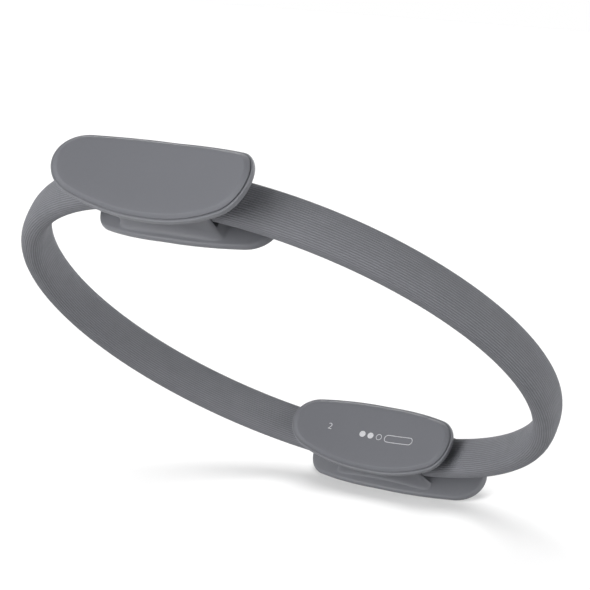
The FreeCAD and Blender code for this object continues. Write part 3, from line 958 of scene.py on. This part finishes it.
@dataclass
class Handle:
    """One double handle: outer pad and plate, inner pad and saddle, and the clamp between them."""

    palette: Palette
    side: Side
    middle: float
    outer: PadForm
    inner: PadForm
    skin: float = 3.5 * MM
    skin_inset: float = 1.5 * MM
    skin_chamfer: float = 2.2 * MM
    nose_tuck: float = 1.8 * MM
    crown: float = 0.5 * MM
    crown_reach: float = 19.0 * MM
    seam_height: float = 0.5 * MM
    seam_depth: float = 0.9 * MM
    edge_round: float = 0.45 * MM
    lip_steps: int = 4
    edge_steps: int = 5
    glue: float = 0.1 * MM
    plate: float = 4.3 * MM
    plate_top_inset: float = 6.0 * MM
    plate_back_inset: float = 9.0 * MM
    rim_round: float = 1.1 * MM
    rim_steps: int = 5
    back_round: float = 2.3 * MM
    back_steps: int = 7
    lid_half_length: float = 26.0 * MM
    lid_half_width: float = 11.1 * MM
    lid_radius: float = 187.55 * MM
    step_width: float = 0.05 * MM
    neck_half_width: float = 18.2 * MM
    neck_half_length: float = 36.5 * MM
    neck_corner: float = 6.0 * MM
    corner_steps: int = 7
    foot_setback: float = 0.2 * MM
    foot_fillet: float = 8.0 * MM
    top_fillet: float = 8.0 * MM
    top_flare: float = 3.4 * MM
    end_flare: float = 3.0 * MM
    fillet_steps: int = 12
    neck_gap: float = 0.1 * MM
    slot_half_width: float = 11.4 * MM
    slot_floor: float = 175.85 * MM
    channel_half_width: float = 14.8 * MM
    channel_floor: float = 173.1 * MM
    cut_step: float = 3.5 * MM

    @property
    def plate_back(self) -> float:
        """Depth of the back of a plate below the face of its skin."""
        return self.skin + self.glue + self.plate

    def place(self, form: PadForm) -> Move:
        """Give the move from a flat drawing to this handle's place on the ring.

        Args:
            form: Form that the drawing is bent to.

        Returns:
            The move of one point.
        """

        def move(spot: Vector) -> Vector:
            """Bend one point and turn it to this handle's side."""
            sign = self.side.sign
            return Vector((sign * form.bend(spot.x, spot.z), sign * spot.x, self.middle + spot.y))

        return move

    def carry(self, piece: Piece, node: str, slot: Slot) -> None:
        """Let a piece ride with this handle and stand for its CAD node.

        Args:
            piece: The piece.
            node: The CAD node, without the word for the side.
            slot: Material slot of both; not used.
        """
        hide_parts(f"{self.side.label}_{node}")
        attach(piece, self.side.body.value)
        log.info("%s: %d faces", piece.name, len(piece.data.polygons))

    def crown_drop(self, inset: float) -> float:
        """Give how far the face falls from its crest at a distance from the outline."""
        return self.crown * max(0.0, 1.0 - inset / self.crown_reach) ** 2

    def skin_profile(self) -> list[RimPoint]:
        """Give the rim of a soft skin: undercut seam, lip, chamfer and crowned face.

        Returns:
            The turns of the rim, from the back to the face.
        """
        lip, soft, tuck = self.skin - self.seam_height, self.edge_round, self.nose_tuck
        foot, edge = self.skin_inset, self.skin_inset + self.skin_chamfer
        undercut, top = foot + self.seam_depth, self.crown_drop(edge)
        rise = soft / self.skin_chamfer
        face_rings = spaced(edge, self.crown_reach, self.cut_step) + [self.crown_reach]
        chamfer_start = RimPoint(foot + soft / 3, lip - soft, wear=0.3, tuck=tuck * rise)
        chamfer_end = RimPoint(edge - soft, top + soft, wear=0.4, tuck=tuck * (1 - rise))
        face_start = RimPoint(edge + soft, self.crown_drop(edge + soft), wear=0.1, tuck=tuck)
        return [
            RimPoint(undercut, self.skin),
            RimPoint(undercut, lip),
            *round_turn(RimPoint(foot + soft / 2, lip), (foot, lip), chamfer_start, self.lip_steps),
            *round_turn(chamfer_end, (edge, top), face_start, self.edge_steps),
            *(RimPoint(inset, self.crown_drop(inset), tuck=tuck) for inset in face_rings),
        ]

    def plate_profile(self) -> list[RimPoint]:
        """Give the rim of a hard plate.

        Returns:
            The turns of the rim, from under the skin round the rim to the back.
        """
        top, back = self.skin + self.glue, self.plate_back
        return [
            RimPoint(self.plate_top_inset, top),
            *round_turn(RimPoint(self.rim_round, top, wear=0.4), (0.0, top),
                        RimPoint(0.0, top + self.rim_round, wear=0.8), self.rim_steps),
            *round_turn(RimPoint(0.0, back - self.back_round, wear=0.4), (0.0, back),
                        RimPoint(self.back_round, back, wear=0.1), self.back_steps),
            RimPoint(self.plate_back_inset, back),
        ]

    def build_pad(self, name: str, form: PadForm) -> None:
        """Build one soft skin.

        Args:
            name: Its CAD node, without the word for the side.
            form: Form of the pad.
        """
        bm = mesh_with_layers()
        form.loft(bm, self.skin_profile(), self.cut_step)
        piece = settle(bm, f"{self.side.label}_{name}_skin", self.place(form), self.palette.pad)
        self.carry(piece, name, Slot.PAD)

    def step_cuts(self, half: float) -> list[float]:
        """Give the cuts at the top and the foot of the steep steps at both ends of a length."""
        return [sign * (half + extra) for sign in (-1, 1) for extra in (0.0, self.step_width)]

    def add_lid(self, bm: BMesh) -> None:
        """Raise the lid that closes the clamp from the back of the flat outer plate.

        Args:
            bm: The flat plate.
        """
        half_length, half_width = self.lid_half_length, self.lid_half_width
        for axis, half in ((ALONG, half_length), (ACROSS, half_width)):
            slice_mesh(bm, axis, self.step_cuts(half))
        for vert in bm.verts:
            along, across, depth = vert.co
            past_lid = max(abs(along) - half_length, abs(across) - half_width)
            if past_lid < MERGE_DISTANCE and abs(depth - self.plate_back) < MERGE_DISTANCE:
                out = self.outer.bend_centre - math.sqrt(self.lid_radius ** 2 - along ** 2)
                vert.co.z = math.hypot(out, along) - self.outer.face_radius

    def build_plate(self) -> None:
        """Build the outer plate with the lid of the clamp."""
        bm = mesh_with_layers()
        self.outer.loft(bm, self.plate_profile(), self.cut_step)
        self.add_lid(bm)
        piece = settle(bm, f"{self.side.label}_outer_plate_shell", self.place(self.outer), self.palette.plate)
        self.carry(piece, "outer_plate", Slot.PLATE)

    def neck_levels(self, along: float, floor_radius: float) -> tuple[float, float, float]:
        """Give the X places of the neck's foot, its channel's floor and its top.

        Args:
            along: Place along the band.
            floor_radius: Radius of the channel's floor there.

        Returns:
            Foot, floor and top.
        """
        foot = self.inner.bend(along, self.plate_back - self.plate / 2)
        top = self.outer.bend(along, self.plate_back + self.neck_gap)
        return foot, math.sqrt(floor_radius ** 2 - along ** 2), top

    def neck_block(self, bm: BMesh, floor: float, top: float) -> None:
        """Draw the neck as a straight channel with rounded corners.

        Args:
            bm: The flat mesh: along, across and height above the foot.
            floor: Height of the channel's floor.
            top: Height of the neck.
        """
        reach, wall, slot = self.neck_half_length, self.neck_half_width, self.slot_half_width
        half = [(0.0, floor), (slot, floor), (slot, top), (wall, top), (wall, 0.0), (0.0, 0.0)]
        spots = half + [(-across, height) for across, height in reversed(half[1:-1])]
        face = bm.faces.new([bm.verts.new((-reach, across, height)) for across, height in spots])
        draw_out(bm, [face], ALONG * 2 * reach)
        bmesh.ops.recalc_face_normals(bm, faces=bm.faces)
        corners = [edge for edge in bm.edges
                   if all(abs(abs(end.co.y) - wall) < MERGE_DISTANCE for end in edge.verts)
                   and abs(edge.verts[0].co.z - edge.verts[1].co.z) > MERGE_DISTANCE]
        bmesh.ops.bevel(bm, geom=corners, offset=self.neck_corner, offset_type="OFFSET",
                        segments=self.corner_steps, profile=0.5, affect="EDGES", material=-1)
        slice_mesh(bm, ALONG, spaced(-reach, reach, self.cut_step) + self.step_cuts(self.lid_half_length))
        foot = self.plate / 2
        turns = [1.0 - math.cos(math.pi / 2 * k / self.fillet_steps) for k in range(self.fillet_steps + 1)]
        slice_mesh(bm, UPWARDS, [floor, *(foot + self.foot_fillet * turn for turn in turns),
                                 *(top - self.top_fillet * turn for turn in turns[1:])])

    @staticmethod
    def fillet(distance: float, height: float) -> float:
        """Give the share of a flare that is left at a distance from the face that it runs into."""
        rest = max(0.0, 1.0 - max(0.0, distance) / height)
        return 1.0 - math.sqrt(1.0 - rest ** 2)

    def neck_move(self, floor: float, top: float) -> Move:
        """Give the move that flares, bends and turns the straight neck into its place.

        Args:
            floor: Height of the channel's floor.
            top: Height of the neck.

        Returns:
            The move of one point.
        """
        foot, sign = self.plate / 2, self.side.sign

        def move(spot: Vector) -> Vector:
            """Move one point of the neck.

            Args:
                spot: Place on the straight neck.

            Returns:
                Place on the ring.
            """
            low = self.fillet(spot.z - foot, self.foot_fillet)
            high = self.fillet(top - spot.z, self.top_fillet)
            along = spot.x * (1.0 + self.end_flare * (low + high) / self.neck_half_length)
            across, floor_radius = abs(spot.y), self.channel_floor
            at_sleeve = abs(spot.x) > self.lid_half_length + MERGE_DISTANCE
            if across > self.slot_half_width + MERGE_DISTANCE:
                if at_sleeve:
                    wall = self.neck_half_width
                    share = (wall - across) / (wall - self.slot_half_width)
                    across = wall - share * (wall - self.channel_half_width)
                foot_reach = self.inner.half_width(along) - self.back_round - self.foot_setback
                swell = (foot_reach - self.neck_half_width) * low + self.top_flare * high
                across *= 1.0 + swell / self.neck_half_width
            elif at_sleeve and across > MERGE_DISTANCE:
                across = self.channel_half_width
            elif not at_sleeve:
                floor_radius = self.slot_floor
            foot_x, floor_x, top_x = self.neck_levels(along, floor_radius)
            if spot.z <= floor:
                x = foot_x + (floor_x - foot_x) * spot.z / floor
            else:
                x = floor_x + (top_x - floor_x) * (spot.z - floor) / (top - floor)
            return Vector((sign * x, sign * along, self.middle + math.copysign(across, spot.y)))

        return move

    def build_saddle(self) -> None:
        """Build the inner saddle: its plate and the neck that grips the band."""
        bm = mesh_with_layers()
        self.inner.loft(bm, self.plate_profile(), self.cut_step)
        name = f"{self.side.label}_inner_saddle_shell"
        piece = settle(bm, name, self.place(self.inner), self.palette.plate)
        foot, floor, top = self.neck_levels(0.0, self.channel_floor)
        neck = mesh_with_layers()
        self.neck_block(neck, floor - foot, top - foot)
        move = self.neck_move(floor - foot, top - foot)
        block = settle(neck, f"{self.side.label}_neck", move, self.palette.plate)
        joined = bmesh.new()
        for source in (piece, block):
            joined.from_mesh(source.data)
        joined.to_mesh(piece.data)
        joined.free()
        bpy.data.objects.remove(block)
        self.carry(piece, "inner_saddle", Slot.PLATE)

    def dress_clamp(self, frame: dict) -> None:
        """Give the CAD pieces inside the clamp their finishes.

        Args:
            frame: The loaded CAD frame.
        """
        finishes = {
            "splice_clip": self.palette.clip,
            "inner_liner": self.palette.liner,
            "outer_liner": self.palette.liner,
            "clamp_screws": self.palette.fastener,
            "clamp_nuts": self.palette.fastener,
        }
        for name, material in finishes.items():
            node = frame["nodes"][f"{self.side.label}_{name}"]
            node.data.materials.clear()
            node.data.materials.append(material)
            log.info("%s dressed", node.name)

    def build(self, frame: dict) -> None:
        """Build every piece of the handle.

        Args:
            frame: The loaded CAD frame.
        """
        self.build_pad("outer_pad", self.outer)
        self.build_plate()
        self.build_saddle()
        self.build_pad("inner_pad", self.inner)
        self.dress_clamp(frame)


@dataclass
class LevelMarks:
    """Plain strength marks printed on the inner pad of one handle: a digit, three dots and an empty pill."""

    palette: Palette
    handle: Handle
    height: float = 0.09 * MM
    root: float = 0.05 * MM
    digit: str = "2"
    digit_size: float = 6.9 * MM
    digit_thinning: float = 0.09 * MM
    digit_place: float = -37.9 * MM
    dot_places: tuple[float, float, float] = (-10.6 * MM, -4.0 * MM, 3.0 * MM)
    dot_radius: float = 2.35 * MM
    line: float = 0.45 * MM
    pill_start: float = 7.6 * MM
    pill_end: float = 32.0 * MM
    pill_radius: float = 2.95 * MM
    steps: int = 40
    reach: float = 45.0 * MM
    cut_step: float = 2.0 * MM

    def disc(self, bm: BMesh, centre: float) -> None:
        """Draw a filled dot."""
        made = bmesh.ops.create_circle(bm, cap_ends=True, radius=self.dot_radius, segments=self.steps)
        bmesh.ops.translate(bm, verts=made["verts"], vec=(centre, 0.0, 0.0))

    def band(self, bm: BMesh, start: float, end: float, radius: float) -> None:
        """Draw the outline of a dot or a pill as a band of ink.

        Args:
            bm: The flat mesh.
            start: Place of the first end's centre.
            end: Place of the second end's centre, the same for a dot.
            radius: Outer radius of the ends.
        """
        rings = []
        for reach in (radius, radius - self.line):
            made = bmesh.ops.create_circle(bm, cap_ends=False, radius=reach, segments=self.steps)
            for vert in made["verts"]:
                vert.co.x += end if vert.co.x > 0 else start
            rings.append([edge for edge in bm.edges if all(v in made["verts"] for v in edge.verts)])
        bmesh.ops.bridge_loops(bm, edges=rings[0] + rings[1])

    def numeral(self, bm: BMesh) -> None:
        """Draw the digit from Blender's own plain font.

        Args:
            bm: The flat mesh.
        """
        curve = bpy.data.curves.new("level_digit", "FONT")
        curve.body = self.digit
        curve.size = self.digit_size
        curve.offset = -self.digit_thinning
        holder = bpy.data.objects.new("level_digit", curve)
        bpy.context.scene.collection.objects.link(holder)
        bpy.context.view_layer.update()
        mesh = bpy.data.meshes.new_from_object(holder.evaluated_get(bpy.context.evaluated_depsgraph_get()))
        bpy.data.objects.remove(holder)
        before = set(bm.verts)
        bm.from_mesh(mesh)
        bpy.data.meshes.remove(mesh)
        fresh = [vert for vert in bm.verts if vert not in before]
        heights = [vert.co.y for vert in fresh]
        bmesh.ops.translate(bm, verts=fresh, vec=(self.digit_place, -(min(heights) + max(heights)) / 2, 0.0))

    def build(self) -> None:
        """Build all marks as one thin print on the face of the inner pad."""
        bm = mesh_with_layers()
        self.numeral(bm)
        for centre in self.dot_places[:2]:
            self.disc(bm, centre)
        self.band(bm, self.dot_places[2], self.dot_places[2], self.dot_radius)
        self.band(bm, self.pill_start + self.pill_radius, self.pill_end - self.pill_radius, self.pill_radius)
        slice_mesh(bm, ALONG, spaced(-self.reach, self.reach, self.cut_step))
        draw_out(bm, bm.faces[:], UPWARDS * -(self.height + self.root))
        bmesh.ops.translate(bm, verts=bm.verts[:], vec=UPWARDS * self.root)
        flip = self.handle.side.sign
        bend = self.handle.place(self.handle.inner)
        piece = settle(bm, f"{self.handle.side.label}_level_marks",
                       lambda spot: bend(Vector((flip * spot.x, spot.y, spot.z))), self.palette.ink)
        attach(piece, self.handle.side.body.value)
        log.info("%s: %d faces", piece.name, len(piece.data.polygons))


# The studio.


@dataclass(frozen=True)
class SoftLamp:
    """One broad soft lamp, far away.

    The level is the light on a surface that faces the lamp, where 1 shows a colour as it is written.
    """

    name: str
    towards: tuple[float, float, float]
    level: float
    spread: float = math.radians(50.0)

    def build(self) -> Piece:
        """Hang the lamp.

        Returns:
            The lamp.
        """
        data = bpy.data.lights.new(self.name, "SUN")
        data.angle = self.spread
        data.energy = self.level * math.pi
        lamp = bpy.data.objects.new(self.name, data)
        lamp.matrix_world = Vector(self.towards).to_track_quat("Z", "Y").to_matrix().to_4x4()
        bpy.context.scene.collection.objects.link(lamp)
        return lamp


@dataclass
class Studio:
    """White floor, soft light and the photograph's camera."""

    ring_centre: Vector
    camera_distance: float = 1461.2 * MM
    camera_azimuth: float = math.radians(33.49)
    camera_elevation: float = math.radians(-20.25)
    camera_roll: float = math.radians(22.39)
    aim: Vector = field(default_factory=lambda: Vector((10.3, 0.8, 23.3)) * MM)
    lens: float = 133.26
    sensor: float = 36.0
    floor_tilt: float = math.radians(41.7)
    floor_half: float = 2.6
    floor_albedo: float = 0.5
    floor_glow: float = 0.37
    floor_lamp_level: float = 0.9
    floor_lamp_spread: float = math.radians(48.0)
    sky: float = 0.1
    ground: float = 1.0
    left_side: float = 0.15
    right_side: float = 0.75
    rise_range: Range = (-0.8, 0.8)
    lamps: tuple[SoftLamp, ...] = (
        SoftLamp("left_lamp", (0.784, -0.366, -0.501), 0.93),
        SoftLamp("right_lamp", (-0.05, 0.96, 0.28), 0.48),
        SoftLamp("top_lamp", (0.973, -0.194, 0.124), 0.2),
        SoftLamp("back_lamp", (-0.5, -0.35, 0.79), 0.55),
    )

    @property
    def up(self) -> Vector:
        """Normal of the floor, on which the tilted ring stands."""
        return Vector((math.sin(self.floor_tilt), 0.0, math.cos(self.floor_tilt)))

    def build_camera(self) -> None:
        """Set the camera where the photograph was taken from."""
        level = math.cos(self.camera_elevation)
        away = Vector((math.cos(self.camera_azimuth) * level, math.sin(self.camera_azimuth) * level,
                       math.sin(self.camera_elevation)))
        data = bpy.data.cameras.new("photo_camera")
        data.lens = self.lens
        data.sensor_width = self.sensor
        camera = bpy.data.objects.new("photo_camera", data)
        place = self.ring_centre + away * self.camera_distance
        look = self.ring_centre + self.aim - place
        turn = look.to_track_quat("-Z", "Y").to_matrix() @ Matrix.Rotation(self.camera_roll, 3, "Z")
        camera.matrix_world = Matrix.Translation(place) @ turn.to_4x4()
        bpy.context.scene.collection.objects.link(camera)
        bpy.context.scene.camera = camera

    def background_rays(self, bench: NodeBench) -> Socket:
        """Find the rays that should see a white background.

        Args:
            bench: The nodes of the floor or the world.

        Returns:
            A socket that is 1 for these rays.
        """
        path = bench.add("ShaderNodeLightPath")
        seen = bench.maths("MAXIMUM", path.outputs["Is Camera Ray"], path.outputs["Is Glossy Ray"])
        return bench.maths("MAXIMUM", seen, path.outputs["Is Transmission Ray"])

    def build_world(self) -> None:
        """Light the ring weakly, most from the floor and the right, before a white background."""
        world = bpy.data.worlds.new("studio")
        world.use_nodes = True
        bpy.context.scene.world = world
        bench = NodeBench(world.node_tree)
        world.node_tree.nodes.clear()
        direction = bench.add("ShaderNodeTexCoord").outputs["Generated"]
        rise = bench.add("ShaderNodeVectorMath", {0: direction, 1: self.up}, operation="DOT_PRODUCT")
        level = bench.remap(rise.outputs["Value"], self.rise_range, (self.ground, self.sky))
        side = bench.add("ShaderNodeSeparateXYZ", {0: direction}).outputs["Y"]
        lean = bench.remap(side, (-1.0, 1.0), (self.left_side, self.right_side))
        light, white = (bench.add("ShaderNodeBackground", {"Color": WHITE, "Strength": strength}).outputs[0]
                        for strength in (bench.maths("MULTIPLY", level, lean), 1.0))
        both = bench.add("ShaderNodeMixShader", {0: self.background_rays(bench), 1: light, 2: white})
        bench.add("ShaderNodeOutputWorld", {"Surface": both.outputs[0]})

    def floor_material(self) -> Material:
        """Make the floor's finish: white, with the ring's shadow, and clear from below.

        Returns:
            The finished material.
        """
        material = bpy.data.materials.new("white_floor")
        material.use_nodes = True
        material.node_tree.nodes.clear()
        bench = NodeBench(material.node_tree)
        shade = bench.add("ShaderNodeBsdfDiffuse", {"Color": (*(self.floor_albedo,) * 3, 1.0)})
        rays = self.background_rays(bench)
        glow = bench.add("ShaderNodeEmission", {"Strength": bench.maths("MULTIPLY", rays, self.floor_glow)})
        lit = bench.add("ShaderNodeAddShader", {0: shade.outputs[0], 1: glow.outputs[0]})
        clear = bench.add("ShaderNodeBsdfTransparent")
        behind = bench.add("ShaderNodeNewGeometry").outputs["Backfacing"]
        both = bench.add("ShaderNodeMixShader", {0: behind, 1: lit.outputs[0], 2: clear.outputs[0]})
        bench.add("ShaderNodeOutputMaterial", {"Surface": both.outputs[0]})
        return material

    def build_floor(self, resting: Iterable[Piece]) -> Piece:
        """Lay the floor under the lowest point of the pieces that rest on it.

        Args:
            resting: Pieces that the ring stands on.

        Returns:
            The floor.
        """
        low = min(self.up.dot(vert.co) for piece in resting for vert in piece.data.vertices)
        bm = bmesh.new()
        bmesh.ops.create_grid(bm, x_segments=1, y_segments=1, size=self.floor_half)
        bmesh.ops.rotate(bm, verts=bm.verts, cent=ORIGIN, matrix=Matrix.Rotation(self.floor_tilt, 3, "Y"))
        bmesh.ops.translate(bm, verts=bm.verts, vec=self.up * low)
        mesh = bpy.data.meshes.new("floor")
        bm.to_mesh(mesh)
        bm.free()
        mesh.materials.append(self.floor_material())
        floor = bpy.data.objects.new("floor", mesh)
        floor.visible_diffuse = False
        bpy.context.scene.collection.objects.link(floor)
        return floor

    def build_floor_lamp(self, floor: Piece) -> None:
        """Light the floor alone from straight above, so that the ring's shadow falls right below it.

        Args:
            floor: The floor.
        """
        lit = bpy.data.collections.new("floor_alone")
        lit.objects.link(floor)
        lamp = SoftLamp("floor_lamp", tuple(self.up), self.floor_lamp_level, self.floor_lamp_spread).build()
        lamp.light_linking.receiver_collection = lit

    def build(self, resting: Iterable[Piece]) -> None:
        """Build the whole studio.

        Args:
            resting: Pieces that the ring stands on.
        """
        self.build_camera()
        self.build_world()
        self.build_floor_lamp(self.build_floor(resting))
        for lamp in self.lamps:
            lamp.build()
        bpy.context.scene.view_settings.view_transform = "Standard"


def main() -> None:
    """Build the ring around its CAD frame, and the studio round it."""
    logging.basicConfig(level=logging.INFO, format="%(message)s")
    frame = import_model()
    palette = Palette.mixed()
    plan = RingPlan.from_frame()
    Hoop(palette, plan.middle, plan.radius).build()

    outer, inner = plan.outer_form(), plan.inner_form()
    handles = {side: Handle(palette, side, plan.middle, outer, inner) for side in Side}
    for handle in handles.values():
        handle.build(frame)
    LevelMarks(palette, handles[Side.LEFT]).build()

    resting = [bpy.data.objects[name] for name in ("left_outer_plate_shell", "left_outer_pad_skin")]
    Studio(Vector((0.0, 0.0, plan.middle))).build(resting)


if __name__ == "__main__":
    main()
